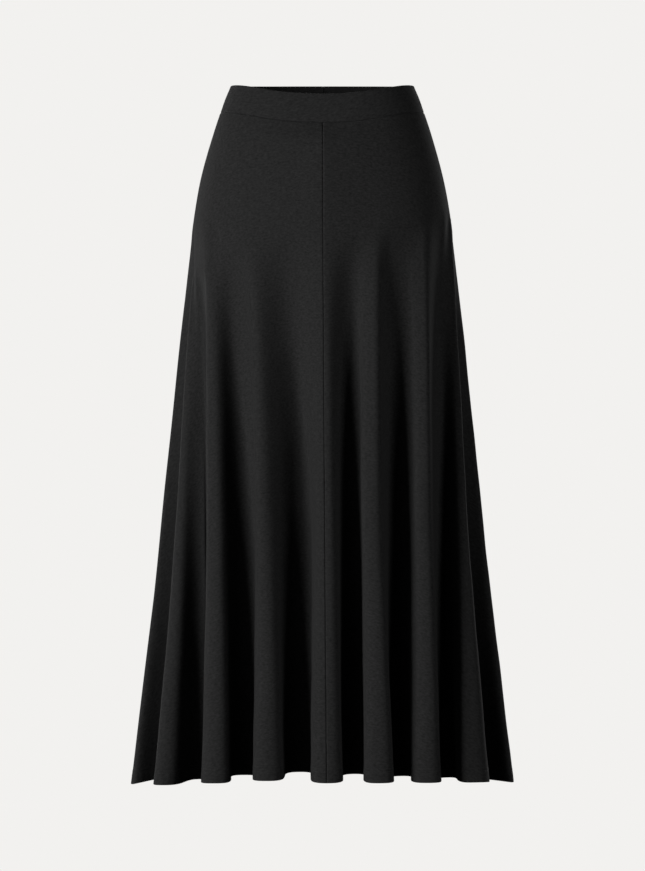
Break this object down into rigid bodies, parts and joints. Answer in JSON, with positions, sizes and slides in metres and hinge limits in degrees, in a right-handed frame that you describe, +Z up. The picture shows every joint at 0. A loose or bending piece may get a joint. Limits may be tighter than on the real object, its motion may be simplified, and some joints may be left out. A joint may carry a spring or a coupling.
{
  "type": "maxi skirt",
  "caption": "Flared black jersey maxi skirt with a folded waistband and a centre-front seam, falling in soft pipe folds to a turned-up hem, filled out as worn.",
  "frame": {"origin": "centre of the waist opening, level with the waistband's top edge at the sides", "axes": "+Z up; the wearer faces -Y, so the wearer's left is +X"},
  "size_m": [0.5175, 0.4009, 0.953],
  "materials": {
    "jersey": "matt black knitted jersey with a faint heather and a soft sheen",
    "band_jersey": "the same black jersey, folded double over elastic"
  },
  "bodies": {
    "root": {"waistband": "band_jersey", "front_panel_right": "jersey", "front_panel_left": "jersey", "back_panel": "jersey"}
  },
  "joints": []
}
